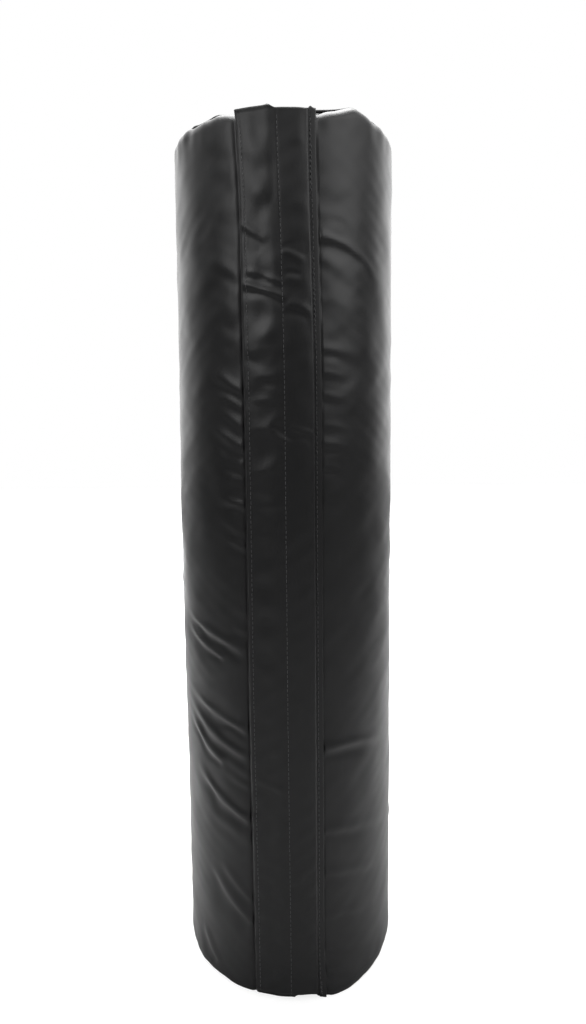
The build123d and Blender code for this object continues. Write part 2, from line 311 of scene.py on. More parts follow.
def head_rise(s, z):
    """How far the head of the cover stands above its cut line: most at the right, less at the left."""
    right = 15.0 * smooth((s - 33 * MM) / (75 * MM)) + 4.0 * bell((s - 106 * MM) / (18 * MM))
    right = right * smooth((320 * MM - s) / (130 * MM))
    left = 7.0 * smooth((-s - 50 * MM) / (44 * MM)) + 3.0 * smooth((-s - 130 * MM) / (30 * MM))
    left = left * smooth((s + 320 * MM) / (130 * MM))
    return (right + left) * MM * smooth((z - HEIGHT + 90 * MM) / (90 * MM))


def foot_spread(r, z):
    """How far the weight pushes the lower rim out towards the full radius."""
    return 0.8 * (RADIUS - r) * smooth((22 * MM - z) / (12 * MM))


def gathers(s, z):
    """Short upright puckers where the wall is sewn to the end panels, fading 45 mm from the seam."""
    waves = ripples(s, 0 * z, 11, 9, (18, 46), (0, 1))
    return MM * waves * (0.25 * bell(z / (26 * MM)) + 0.5 * bell((HEIGHT - z) / (26 * MM)))


def wall_relief(s, z):
    """How far the wall stands off its nominal shape, outwards: creases, puckers, the simulated folds and slow
    unevenness beside the flap, and the body's bulge everywhere."""
    behind = np.where(s < 0, s + AROUND, s)
    relief = creases(s, z, LEFT_CREASES) + creases(s, z, RIGHT_CREASES, fade=(0.03, 0.8))
    relief += creases(behind, z, BACK_CREASES, fade=(0.4, 0.4))
    relief += gathers(s, z)
    relief += 0.3 * MM * ripples(s, z, 5, 10, (2, 7), (4, 16))
    relief += 0.14 * MM * ripples(s, z, 6, 14, (8, 24), (20, 60))
    relief += 0.1 * MM * ripples(s, z, 7, 20, (6, 34), (90, 300))
    relief += edge_groove(s, z)
    relief = relief + sampled(s, z)
    return relief * beside_flap(s, z) + body_bulge(s, z)


def flap_rise(s):
    """The middle of the flap's sheet off the wall: level on the tapes with its edge rolled down, a long rise to
    the crown over the zip, and a short fall to the hem, joined by smooth steps."""
    level = farthest("hook_tape") - RADIUS + 0.05 * MM + SHEET / 2
    crown = farthest("zip_slider") - RADIUS + 1.1 * MM + SHEET / 2
    foot = HEM_TOP - SHEET / 2
    up = 0.68 * smooth((s + 30 * MM) / (23 * MM)) + 0.32 * smooth((s + 8 * MM) / (ZIP_AT + 5 * MM))
    sag = -0.5 * MM * smooth((s - ZIP_AT - 2 * MM) / (12 * MM))
    down = smooth((s - HINGE_AT + 5 * MM) / (4.8 * MM))
    roll = -0.9 * MM * smooth((FREE_EDGE + 2.2 * MM - s) / (2.2 * MM))
    return level + roll + (crown + sag - level) * up + (foot - crown - sag) * down


def flap_relief(s, z):
    """How far the flap stands off that rise: its creases, soft swellings and its lifted head. It vanishes at
    the hinge line and never goes far below the tapes. Each swelling is listed in millimetres, as its place
    across and its height, its half widths both ways and its rise; it reaches further up than down."""
    at = leaned(s, z)
    relief = creases(at, z, FLAP_CREASES, under=0.6, fade=(0.2, 0.25))
    for across, height, wide, tall, rise in (
        (-26, 906, 17, 30, 2.8),
        (-33, 1100, 13, 40, 1.8),
        (-40, 1150, 9, 24, 1.0),
        (-26, 870, 16, 20, 2.2),
        (-26, 840, 15, 15, 1.7),
        (-24, 803, 16, 18, 2.0),
        (-24, 748, 15, 18, 1.3),
        (-24, 702, 15, 20, 1.5),
        (-24, 644, 16, 28, 1.4),
        (-24, 585, 15, 22, 0.8),
        (-2, 850, 14, 40, 0.8),
        (18, 1160, 8, 20, 0.8),
        (16, 1085, 9, 26, 0.6),
        (-14, 1090, 4, 60, -0.7),
        (10, 915, 12, 24, 0.5),
    ):
        reach = np.where(z > height * MM, 1.4, 0.4) * tall * MM
        relief += rise * MM * bell((at - across * MM) / (wide * MM)) * bell((z - height * MM) / reach)
    relief += 0.26 * MM * ripples(at, z, 21, 18, (3, 34), (8, 120))
    relief += 0.38 * MM * ripples(at, z, 24, 24, (6, 36), (90, 260)) * (1.3 - smooth((z - 0.15) / 0.4))
    scallops = ripples(at, z, 23, 5, (0, 3), (90, 170)) * smooth((z - 0.25) / 0.3)
    relief += 0.8 * MM * scallops * bell((at + 29 * MM) / (13 * MM))
    corner = smooth((z - HEIGHT + 26 * MM) / (26 * MM)) * smooth((-at - 20 * MM) / (40 * MM))
    relief += 1.6 * MM * corner + 0.35 * MM
    relief = np.maximum(relief, -0.15 * MM)
    relief = relief * smooth((HINGE_AT - 1.5 * MM - s) / (9 * MM))
    lip = 0.9 * MM * smooth((z - HEIGHT + 4 * MM) / (3 * MM))
    tuck = -4.6 * MM * smooth((13 * MM - z) / (13 * MM))
    return relief + lip + tuck


def flap_middle(s, z):
    """Distance of the middle of the flap's sheet from the upright axis, with a shallow groove sewn in along
    each line of stitches."""
    groove = sum(bell((s - row) / (1.3 * MM)) for row in FLAP_STITCHES)
    return RADIUS + flap_rise(s) + flap_relief(s, z) + body_bulge(leaned(s, z), z) - 0.2 * MM * groove


FLAP_STITCHES = (FREE_EDGE + 6.6 * MM, TAPE_TO - 1.6 * MM)
HINGE_STITCHES = HINGE_AT + 0.9 * MM


def wall_outline():
    """The wall's upright outline from the lower seam to the upper one, as radius, height and the outward
    normal's two parts: an arc, a straight side and an arc."""
    corner, turn = 16 * MM, radians(62)
    arc = np.linspace(-turn, 0, 12)
    low_r = RADIUS - corner + corner * np.cos(arc)
    low_z = corner + corner * np.sin(arc)
    side = np.concatenate(
        [
            np.linspace(corner, SLIT_LOW, 9)[1:],
            np.linspace(SLIT_LOW, SLIT_HIGH, 330)[1:],
            np.linspace(SLIT_HIGH, HEIGHT - corner, 9)[1:-1],
        ]
    )
    r = np.concatenate([low_r, np.full(side.size, RADIUS), low_r[::-1]])
    z = np.concatenate([low_z, side, HEIGHT - low_z[::-1]])
    nr = np.concatenate([np.cos(arc), np.ones(side.size), np.cos(arc[::-1])])
    nz = np.concatenate([np.sin(arc), np.zeros(side.size), -np.sin(arc[::-1])])
    return r, z, nr, nz


def wall_columns():
    """Places round the wall, from the opening's right edge once round to it: closest along the flap's edges,
    close beside the flap and further apart behind."""
    left, right = ZIP_AT - SLIT_HALF, ZIP_AT + SLIT_HALF
    edge = AROUND + FREE_EDGE
    parts = [
        np.linspace(right, FOLD_EDGE - 4 * MM, 6),
        np.linspace(FOLD_EDGE - 4 * MM, FOLD_EDGE + 4 * MM, 14),
        np.linspace(FOLD_EDGE + 4 * MM, 150 * MM, 36),
        np.linspace(150 * MM, AROUND - 200 * MM, 110),
        np.linspace(AROUND - 200 * MM, edge - 7 * MM, 52),
        np.linspace(edge - 7 * MM, edge + 2 * MM, 16),
        np.linspace(edge + 2 * MM, AROUND + left, 16),
        np.linspace(AROUND + left, AROUND + right, 6),
    ]
    return np.concatenate([p[:-1] for p in parts])


def lean_columns(s, z):
    """Carries the columns near the flap's free edge along with its lean."""
    near = smooth((s + 95 * MM) / (36 * MM)) * smooth((-12 * MM - s) / (30 * MM))
    return s + edge_lean(z) * near


# --- The settled cover, by cloth simulation ------------------------------------------------
SETTLED = {}


def blurred(field, times):
    """A field of heights, closed round the wall and held at its top and bottom rows, averaged with its
    neighbours so many times: half of each point and a quarter of each neighbour, first round, then up."""
    for _ in range(times):
        field = (np.roll(field, 1, 1) + np.roll(field, -1, 1) + 2 * field) / 4
        padded = np.pad(field, ((1, 1), (0, 0)), "edge")
        field = (padded[:-2] + padded[2:] + 2 * field) / 4
    return field


def settle_cover(frames):
    """Finds how the cover creases when it is sewn a little too full. A tube of cloth has a rest shape longer,
    wider and slightly twisted, is held at both end seams and along the closure, is pressed out by the filling,
    and runs for some frames. Kept is its distance off the plain wall, without its broad swelling, capped."""
    columns, rows = 168, 190
    uneven, twist, wider, longer = 0.5 * MM, 0.035, 1.012, 1.035
    sewn, cap = 8 * MM, 3 * MM
    s = (np.arange(columns) / columns * AROUND)[None, :]
    z = np.linspace(0, HEIGHT, rows)[:, None]
    middle = z - HEIGHT / 2
    plain = round_wall(s, RADIUS + uneven * ripples(s, z, 91, 24, (2, 14), (16, 120)), z)
    fuller = round_wall(s - twist * middle, RADIUS * wider + 0 * z, HEIGHT / 2 + middle * longer)
    quads = grid_faces(rows, columns, True)
    cloth = make_object("settling_cover", plain, quads, finishes()["vinyl"], weld=False)
    cloth.shape_key_add(name="Sewn")
    key = cloth.shape_key_add(name="Fuller")
    key.data.foreach_set("co", fuller.ravel())
    key.value = 0.0
    around = np.where(s > AROUND / 2, s - AROUND, s) + 0 * z
    under_flap = (around > FREE_EDGE - 2 * MM) & (around < FOLD_EDGE + 2 * MM)
    held = under_flap | (z < sewn) | (z > HEIGHT - sewn)
    group = cloth.vertex_groups.new(name="Held")
    group.add(np.flatnonzero(held.ravel()).tolist(), 1.0, "REPLACE")
    push = cloth.modifiers.new("Cloth", "CLOTH")
    push.point_cache.frame_start, push.point_cache.frame_end = 1, frames
    how = push.settings
    how.rest_shape_key = key
    how.vertex_group_mass = group.name
    how.quality, how.mass, how.air_damping = 4, 0.006, 3.0
    how.tension_stiffness = how.compression_stiffness = 30.0
    how.shear_stiffness, how.bending_stiffness = 15.0, 0.4
    how.tension_damping = how.compression_damping = 5.0
    how.use_pressure, how.uniform_pressure_force = True, 4.0
    how.effector_weights.gravity = 0.0
    scene = bpy.context.scene
    for step in range(1, frames + 1):
        scene.frame_set(step)
    seen = cloth.evaluated_get(bpy.context.evaluated_depsgraph_get())
    points = np.zeros(rows * columns * 3)
    seen.data.vertices.foreach_get("co", points)
    points = points.reshape(rows, columns, 3)
    off = np.hypot(points[..., 0], points[..., 1]) - RADIUS
    scene.frame_set(1)
    bpy.data.objects.remove(cloth)
    off = blurred(off - blurred(off, 60), 2)
    SETTLED["off"] = cap * np.tanh(off / cap)


def sampled(s, z):
    """The settled cover's distance off the plain wall at any place, by smooth steps between its points."""
    if "off" not in SETTLED:
        return 0.0
    off = SETTLED["off"]
    rows, columns = off.shape
    u = np.mod(s, AROUND) / AROUND * columns + 0 * z
    v = np.clip(z / HEIGHT, 0, 0.9999) * (rows - 1) + 0 * s
    i, j = v.astype(int), u.astype(int)
    a, b = smooth(v - i), smooth(u - j)
    j, k = j % columns, (j + 1) % columns
    low = off[i, j] * (1 - b) + off[i, k] * b
    high = off[i + 1, j] * (1 - b) + off[i + 1, k] * b
    return low * (1 - a) + high * a


# --- Mesh and object helpers ---------------------------------------------------------------
def grid_faces(rows, columns, wrap=False):
    """Quads of a grid of points, row by row; wrap joins the last column to the first."""
    i = np.arange(rows - 1)[:, None]
    j = np.arange(columns if wrap else columns - 1)[None, :]
    k = (j + 1) % columns
    low, high = i * columns, (i + 1) * columns
    return np.stack([low + j, low + k, high + k, high + j], -1).reshape(-1, 4)


def make_object(name, points, faces, material, cloth=None, weld=True):
    """A smooth mesh object from points and quads, with its normals outwards; cloth gives each point's place on
    the cut sheet, in metres, and becomes its UV map."""
    points = np.ascontiguousarray(points.reshape(-1, 3))
    mesh = bpy.data.meshes.new(name)
    mesh.vertices.add(len(points))
    mesh.vertices.foreach_set("co", points.ravel())
    mesh.loops.add(faces.size)
    mesh.loops.foreach_set("vertex_index", faces.ravel().astype(np.int32))
    mesh.polygons.add(len(faces))
    mesh.polygons.foreach_set("loop_start", np.arange(0, faces.size, faces.shape[1], dtype=np.int32))
    mesh.polygons.foreach_set("loop_total", np.full(len(faces), faces.shape[1], dtype=np.int32))
    if cloth is not None:
        layer = mesh.uv_layers.new(name="Cloth")
        layer.uv.foreach_set("vector", cloth.reshape(-1, 2)[faces.ravel()].ravel())
    mesh.update(calc_edges=True)
    mesh.validate()
    if weld:
        b = bmesh.new()
        b.from_mesh(mesh)
        bmesh.ops.remove_doubles(b, verts=b.verts, dist=1e-7)
        bmesh.ops.recalc_face_normals(b, faces=b.faces)
        b.to_mesh(mesh)
        b.free()
    mesh.shade_smooth()
    made = bpy.data.objects.new(name, mesh)
    bpy.context.scene.collection.objects.link(made)
    mesh.materials.append(material)
    return made


def slab(name, outer, inner, material, wrap=False, cloth=None):
    """A closed sheet between two grids of points of one shape, with a rim along each open edge."""
    rows, columns = outer.shape[:2]
    top = grid_faces(rows, columns, wrap)
    count = rows * columns
    rim = []
    along = np.arange(columns if wrap else columns - 1)
    after = (along + 1) % columns
    for row in (0, rows - 1):
        base = row * columns
        rim.append(np.stack([base + along, base + after, base + after + count, base + along + count], -1))
    if not wrap:
        up = np.arange(rows - 1) * columns
        for column in (0, columns - 1):
            a = up + column
            rim.append(np.stack([a, a + columns, a + columns + count, a + count], -1))
    faces = np.concatenate([top, top[:, ::-1] + count, *rim])
    both = np.concatenate([outer.reshape(-1, 3), inner.reshape(-1, 3)])
    if cloth is not None:
        cloth = np.concatenate([cloth.reshape(-1, 2)] * 2)
    return make_object(name, both, faces, material, cloth)


def repeated(name, shape, quads, material):
    """One mesh of many copies: shape is copies by points by 3, and quads one copy's faces."""
    copies, points = shape.shape[:2]
    faces = (quads[None] + (np.arange(copies) * points)[:, None, None]).reshape(-1, 4)
    return make_object(name, shape, faces, material)


def tube_quads(rings, sides):
    """Quads of a closed tube of rings of an even number of sides, with flat quads over both ends."""
    faces = [grid_faces(rings, sides, True)]
    for base in (0, (rings - 1) * sides):
        ring = base + np.arange(sides)
        pairs = [[ring[i], ring[i + 1], ring[-2 - i], ring[-1 - i]] for i in range(sides // 2 - 1)]
        faces.append(np.array(pairs))
    return np.concatenate(faces)


def thicken(obj, thickness):
    """Gives a sheet its thickness, inwards, and keeps the result as the mesh."""
    wall = obj.modifiers.new("Thickness", "SOLIDIFY")
    wall.thickness, wall.offset, wall.use_rim = thickness, -1.0, True
    keep_modifiers(obj)


def keep_modifiers(obj):
    """Replaces an object's mesh by what its modifiers make of it."""
    bpy.context.view_layer.update()
    seen = obj.evaluated_get(bpy.context.evaluated_depsgraph_get())
    mesh = bpy.data.meshes.new_from_object(seen)
    obj.modifiers.clear()
    obj.data = mesh


def place(obj, body, slot, *nodes):
    """Puts a finished piece on its body and lets it stand for CAD nodes; the slot is not used."""
    if body:
        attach(obj, body)
    if nodes:
        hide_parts(*nodes)
    return obj


# --- Materials -----------------------------------------------------------------------------
def new_group(name, inputs, outputs):
    """An empty shader node group. Inputs gives each socket's value, none for a vector; outputs are floats."""
    group = bpy.data.node_groups.new(name, "ShaderNodeTree")
    for label, value in inputs.items():
        kind = "NodeSocketVector" if value is None else "NodeSocketFloat"
        socket = group.interface.new_socket(label, in_out="INPUT", socket_type=kind)
        if value is not None:
            socket.default_value = value
    for label in outputs:
        group.interface.new_socket(label, in_out="OUTPUT", socket_type="NodeSocketFloat")
    return group, group.nodes.new("NodeGroupInput"), group.nodes.new("NodeGroupOutput")


def node(tree, kind, **values):
    """A node of a kind, with its settings, and with its sockets by label where the name is one."""
    made = tree.nodes.new(kind)
    for key, value in values.items():
        if key in made.bl_rna.properties:
            setattr(made, key, value)
        else:
            made.inputs[key.replace("_", " ")].default_value = value
    return made


def join(tree, *pairs):
    """Links pairs of sockets."""
    for source, target in pairs:
        tree.links.new(source, target)


def texture(tree, kind, at, **values):
    """A texture node fed by a vector."""
    made = node(tree, f"ShaderNodeTex{kind}", **values)
    join(tree, (at, made.inputs["Vector"]))
    return made


def soft_step(tree, value, low, high):
    """A smooth step of a value, 0 up to low and 1 from high."""
    step = node(tree, "ShaderNodeMapRange", interpolation_type="SMOOTHSTEP", From_Min=low, From_Max=high)
    join(tree, (value, step.inputs["Value"]))
    return step.outputs["Result"]


def blended(tree, share, first, second):
    """Two values mixed, by the share of the second."""
    mix = node(tree, "ShaderNodeMix", data_type="FLOAT")
    mix.inputs[0].default_value = share
    join(tree, (first, mix.inputs[2]), (second, mix.inputs[3]))
    return mix.outputs[0]


def grain_group():
    """Pebbled grain of coated cloth: small soft cells broken up by noise."""
    group, given, out = new_group("Coated grain", {"Vector": None, "Pebbles per metre": 900.0}, ["Height"])
    at, scale = given.outputs[0], given.outputs[1]
    cells = texture(group, "Voronoi", at, feature="SMOOTH_F1", Smoothness=0.6, Randomness=1.0)
    fine = texture(group, "Noise", at, Detail=3.0, Roughness=0.6)
    double = node(group, "ShaderNodeMath", operation="MULTIPLY")
    double.inputs[1].default_value = 2.3
    join(
        group,
        (scale, cells.inputs["Scale"]),
        (scale, double.inputs[0]),
        (double.outputs[0], fine.inputs["Scale"]),
        (blended(group, 0.35, cells.outputs["Distance"], fine.outputs["Fac"]), out.inputs["Height"]),
    )
    return group


def scuff_group():
    """Handling marks: faint long rubs and cloudy dull patches, from 0, clean, to 1."""
    group, given, out = new_group("Handling marks", {"Vector": None}, ["Rubs", "Clouds"])
    at = given.outputs["Vector"]
    turn = node(group, "ShaderNodeMapping", Rotation=(0.3, 0.5, 0.2), Scale=(26.0, 60.0, 9.0))
    rubs = texture(group, "Noise", turn.outputs["Vector"], Scale=1.0, Detail=5.0, Roughness=0.7, Distortion=0.4)
    clouds = texture(group, "Noise", at, Scale=4.2, Detail=3.0, Roughness=0.5)
    join(
        group,
        (at, turn.inputs["Vector"]),
        (soft_step(group, rubs.outputs["Fac"], 0.56, 0.78), out.inputs["Rubs"]),
        (soft_step(group, clouds.outputs["Fac"], 0.35, 0.7), out.inputs["Clouds"]),
    )
    return group


def weave_group():
    """Plain weave on a piece's own sheet: the greater of two rows of waves, one each way, and a fine fuzz."""
    group, given, out = new_group(
        "Plain weave", {"Vector": None, "Threads per metre": 2000.0}, ["Height", "Fuzz"]
    )
    at, scale = given.outputs[0], given.outputs[1]
    warp = texture(group, "Wave", at, bands_direction="X", Distortion=0.6, Detail=1.0)
    weft = texture(group, "Wave", at, bands_direction="Y", Distortion=0.6, Detail=1.0)
    fuzz = texture(group, "Noise", at, Detail=3.0, Roughness=0.7)
    both = node(group, "ShaderNodeMath", operation="MAXIMUM")
    join(
        group,
        *((scale, made.inputs["Scale"]) for made in (warp, weft, fuzz)),
        (warp.outputs["Fac"], both.inputs[0]),
        (weft.outputs["Fac"], both.inputs[1]),
        (both.outputs[0], out.inputs["Height"]),
        (fuzz.outputs["Fac"], out.inputs["Fuzz"]),
    )
    return group


def use_group(tree, name, make, at, **values):
    """A shared effect placed in a material and fed by a vector; the group is made the first time."""
    made = tree.nodes.new("ShaderNodeGroup")
    made.node_tree = bpy.data.node_groups.get(name) or make()
    for key, value in values.items():
        made.inputs[key.replace("_", " ")].default_value = value
    join(tree, (at, made.inputs["Vector"]))
    return made


def new_material(name):
    """A material with its shader, and the Object and UV coordinates ready."""
    material = bpy.data.materials.new(name)
    material.use_nodes = True
    tree = material.node_tree
    coords = tree.nodes.new("ShaderNodeTexCoord")
    return material, tree, coords.outputs["Object"], coords.outputs["UV"]


def tinted(colour, share):
    """A share of a colour."""
    return tuple(c * share for c in colour)


def dress(tree, colours, dulls, relief, **constants):
    """Gives the shader its surface: colours is a factor and the two colours it mixes, dulls a factor and the
    roughness at 0 and at 1, and relief a height with its distance and strength. Constants go on the sockets."""
    shader = tree.nodes["Principled BSDF"]
    mix = node(tree, "ShaderNodeMix", data_type="RGBA")
    mix.inputs[6].default_value = (*colours[1], 1)
    mix.inputs[7].default_value = (*colours[2], 1)
    span = node(tree, "ShaderNodeMapRange", To_Min=dulls[1], To_Max=dulls[2])
    raised = node(tree, "ShaderNodeBump", Distance=relief[1], Strength=relief[2])
    join(
        tree,
        (colours[0], mix.inputs[0]),
        (mix.outputs[2], shader.inputs["Base Color"]),
        (dulls[0], span.inputs["Value"]),
        (span.outputs["Result"], shader.inputs["Roughness"]),
        (relief[0], raised.inputs["Height"]),
        (raised.outputs["Normal"], shader.inputs["Normal"]),
    )
    for key, value in constants.items():
        shader.inputs[key.replace("_", " ")].default_value = value


def coated_vinyl(name, colour, dull, grain_depth):
    """Black coated cloth: pebbled grain, cloudy gloss and faint rubs that are lighter."""
    material, tree, at, _ = new_material(name)
    grain = use_group(tree, "Coated grain", grain_group, at)
    marks = use_group(tree, "Handling marks", scuff_group, at)
    dress(
        tree,
        (marks.outputs["Rubs"], colour, tinted(colour, 1.45)),
        (marks.outputs["Clouds"], dull - 0.035, dull + 0.045),
        (grain.outputs["Height"], grain_depth, 0.5),
        IOR=1.5,
    )
    return material


def thread(name, colour):
    """Twisted polyester thread."""
    material, tree, at, _ = new_material(name)
    twist = texture(tree, "Wave", at, bands_direction="DIAGONAL", Scale=900.0, Distortion=0.5).outputs["Fac"]
    dress(tree, (twist, tinted(colour, 0.55), colour), (twist, 0.5, 0.38), (twist, 0.0001, 0.6))
    return material


def woven(name, colour, threads, dull=0.8):
    """Plain woven cloth on the piece's own sheet."""
    material, tree, _, sheet = new_material(name)
    weave = use_group(tree, "Plain weave", weave_group, sheet, Threads_per_metre=threads)
    height, fuzz = weave.outputs["Height"], weave.outputs["Fuzz"]
    colours = (height, tinted(colour, 0.5), colour)
    dress(tree, colours, (fuzz, dull - 0.08, dull + 0.08), (height, 0.00025, 0.7), Sheen_Weight=0.15)
    return material


def pile(name, colour, tufts, hooked):
    """Hook or loop pile: close rows of stiff hooks, or a matted fleece of loops."""
    material, tree, at, sheet = new_material(name)
    tuft = texture(tree, "Voronoi", sheet, feature="F1", Scale=tufts, Randomness=0.25 if hooked else 1.0)
    mat = texture(tree, "Noise", at, Scale=tufts * 0.35, Detail=5.0, Roughness=0.75, Distortion=1.2)
    both = blended(tree, 0.15 if hooked else 0.6, tuft.outputs["Distance"], mat.outputs["Fac"])
    dress(
        tree,
        (both, colour, tinted(colour, 0.4)),
        (both, 0.55 if hooked else 0.85, 0.9),
        (both, -0.0012, 0.9),
        Sheen_Weight=0.1 if hooked else 0.3,
    )
    return material


def moulded(name, colour, dull):
    """Moulded plastic with a faint flow texture."""
    material, tree, at, _ = new_material(name)
    flow = texture(tree, "Noise", at, Scale=700.0, Detail=3.0, Roughness=0.6).outputs["Fac"]
    dress(tree, (flow, tinted(colour, 0.7), colour), (flow, dull - 0.06, dull + 0.06), (flow, 0.00006, 0.4))
    return material


def enamelled(name, colour, bare):
    """Enamelled zinc: glossy black, rubbed through to metal in small patches."""
    material, tree, at, _ = new_material(name)
    marks = use_group(tree, "Handling marks", scuff_group, at)
    chips = texture(tree, "Noise", at, Scale=420.0, Detail=4.0, Roughness=0.7).outputs["Fac"]
    worn = soft_step(tree, chips, 0.62, 0.7)
    join(tree, (worn, tree.nodes["Principled BSDF"].inputs["Metallic"]))
    dulls = (marks.outputs["Clouds"], 0.24, 0.38)
    dress(tree, (worn, colour, bare), dulls, (chips, 0.00004, 0.4), Coat_Weight=0.2)
    return material


def open_foam(name, colour):
    """Open-cell foam: pale cells with dark pores."""
    material, tree, at, _ = new_material(name)
    cells = texture(tree, "Voronoi", at, feature="F1", Scale=900.0).outputs["Distance"]
    cloud = texture(tree, "Noise", at, Scale=30.0, Detail=4.0).outputs["Fac"]
    colours = (cells, tinted(colour, 0.55), colour)
    dress(tree, colours, (cloud, 0.85, 1.0), (cells, 0.0006, 0.8), Sheen_Weight=0.1)
    return material


def rag_shreds(name, colour, other):
    """Shredded textile: a mass of small scraps in two muted colours."""
    material, tree, at, _ = new_material(name)
    scraps = texture(tree, "Voronoi", at, feature="F1", Scale=70.0, Randomness=1.0)
    lint = texture(tree, "Noise", at, Scale=600.0, Detail=5.0, Roughness=0.7)
    pick = node(tree, "ShaderNodeSeparateColor")
    join(tree, (scraps.outputs["Color"], pick.inputs["Color"]))
    colours = (pick.outputs["Red"], colour, other)
    dress(tree, colours, (lint.outputs["Fac"], 0.85, 1.0), (scraps.outputs["Distance"], 0.004, 0.8))
    return material


def studio_floor(name, colour):
    """Pale painted floor with the faintest unevenness."""
    material, tree, at, _ = new_material(name)
    shader = tree.nodes["Principled BSDF"]
    cloud = texture(tree, "Noise", at, Scale=1.5, Detail=3.0).outputs["Fac"]
    mix = node(tree, "ShaderNodeMix", data_type="RGBA")
    mix.inputs[6].default_value = (*tinted(colour, 0.985), 1)
    mix.inputs[7].default_value = (*colour, 1)
    join(tree, (cloud, mix.inputs[0]), (mix.outputs[2], shader.inputs["Base Color"]))
    shader.inputs["Roughness"].default_value = 0.9
    shader.inputs["Specular IOR Level"].default_value = 0.1
    seen = tree.nodes.new("ShaderNodeLightPath")
    lift = node(tree, "ShaderNodeMath", operation="MULTIPLY")
    lift.inputs[1].default_value = 0.8
    shader.inputs["Emission Color"].default_value = (1, 1, 1, 1)
    join(
        tree,
        (seen.outputs["Is Camera Ray"], lift.inputs[0]),
        (lift.outputs[0], shader.inputs["Emission Strength"]),
    )
    return material


FINISHES = {}


def finishes():
    """Every finish of the dummy by name, made once."""
    if not FINISHES:
        colours, sizes = bpy.context.scene.dummy_colours, bpy.context.scene.dummy_sizes
        black = tuple(colours.vinyl)
        FINISHES.update(
            vinyl=coated_vinyl("Black coated vinyl", black, sizes.vinyl_dullness, 0.00012),
            piping=coated_vinyl("Matte piping vinyl", tinted(black, 0.6), 0.62, 0.00016),
            thread=thread("Black sewing thread", tuple(colours.thread)),
            tape=woven("Zip tape weave", (0.022, 0.022, 0.024), 1800.0),
            hooks=pile("Hook pile", (0.03, 0.03, 0.032), 620.0, True),
            loops=pile("Loop pile", (0.035, 0.035, 0.037), 900.0, False),
            teeth=moulded("Zip teeth plastic", (0.03, 0.03, 0.032), 0.38),
            enamel=enamelled("Black zip enamel", (0.02, 0.02, 0.021), (0.55, 0.52, 0.46)),
            foam=open_foam("Open-cell foam", (0.62, 0.61, 0.56)),
            sack=woven("Sack cloth", (0.55, 0.52, 0.45), 900.0, 0.9),
            rags=rag_shreds("Shredded textile", (0.22, 0.24, 0.28), (0.5, 0.47, 0.42)),
        )
    return FINISHES


# --- Settings ------------------------------------------------------------------------------
class DummySizes(bpy.types.PropertyGroup):
    crease_share: FloatProperty(
        name="Crease depth",
        description="Share of the modelled depth of the creases",
        default=0.85,
        min=0,
        max=2,
    )
    stitch_length: FloatProperty(
        name="Stitch length", description="From one needle hole to the next", default=6.5 * MM, unit="LENGTH"
    )
    thread_thickness: FloatProperty(
        name="Thread thickness", description="Diameter of the sewing thread", default=0.75 * MM, unit="LENGTH"
    )
    tooth_pitch: FloatProperty(
        name="Tooth pitch", description="From one tooth to the next in a row", default=2.6 * MM, unit="LENGTH"
    )
    vinyl_dullness: FloatProperty(
        name="Vinyl dullness",
        description="Mean roughness of the vinyl",
        default=0.36,
        min=0,
        max=1,
        subtype="FACTOR",
    )
    sim_frames: IntProperty(
        name="Cloth frames", description="Frames that the cover is simulated for", default=18
    )


class DummyColours(bpy.types.PropertyGroup):
    vinyl: FloatVectorProperty(
        name="Vinyl", description="Colour of the coated vinyl", default=(0.008, 0.008, 0.0085), subtype="COLOR"
    )
    thread: FloatVectorProperty(
        name="Thread", description="Colour of the stitching", default=(0.11, 0.11, 0.113), subtype="COLOR"
    )
    floor: FloatVectorProperty(
        name="Floor", description="Colour of the studio floor", default=(0.26, 0.26, 0.26), subtype="COLOR"
    )


# --- Pieces --------------------------------------------------------------------------------
class DUMMY_OT_cover_wall(bpy.types.Operator):
    """The stuffed cover's wall: its outline carried round the axis, pushed along its normal by the relief,
    with the zip's opening left out and the sheet's thickness added inside"""

    bl_idname = "dummy.cover_wall"
    bl_label = "Cover wall"

    def execute(self, context):
        settle_cover(context.scene.dummy_sizes.sim_frames)
        r, z, nr, nz = (a[:, None] for a in wall_outline())
        s = wall_columns()[None, :]
        around = lean_columns(np.where(s > AROUND / 2, s - AROUND, s), z)
        relief = wall_relief(around, z)
        full = r + foot_spread(r, z) + relief * nr
        points = round_wall(around, full, np.maximum(z + relief * nz, 0.5 * MM) + head_rise(around, z))
        rows, columns = points.shape[:2]
        faces = grid_faces(rows, columns, True)
        row, column = faces[:, 0] // columns, faces[:, 0] % columns
        open_side = column >= columns - 5
        within = (z[row, 0] > SLIT_LOW - 1e-6) & (z[row + 1, 0] < SLIT_HIGH + 1e-6)
        cloth = np.stack(np.broadcast_arrays(s, z), -1)
        wall = make_object("cover_wall_vinyl", points, faces[~(open_side & within)], finishes()["vinyl"], cloth)
        thicken(wall, SHEET)
        wall.data.shade_smooth()
        place(wall, "bag", "black_vinyl", "cover_wall")
        return {"FINISHED"}


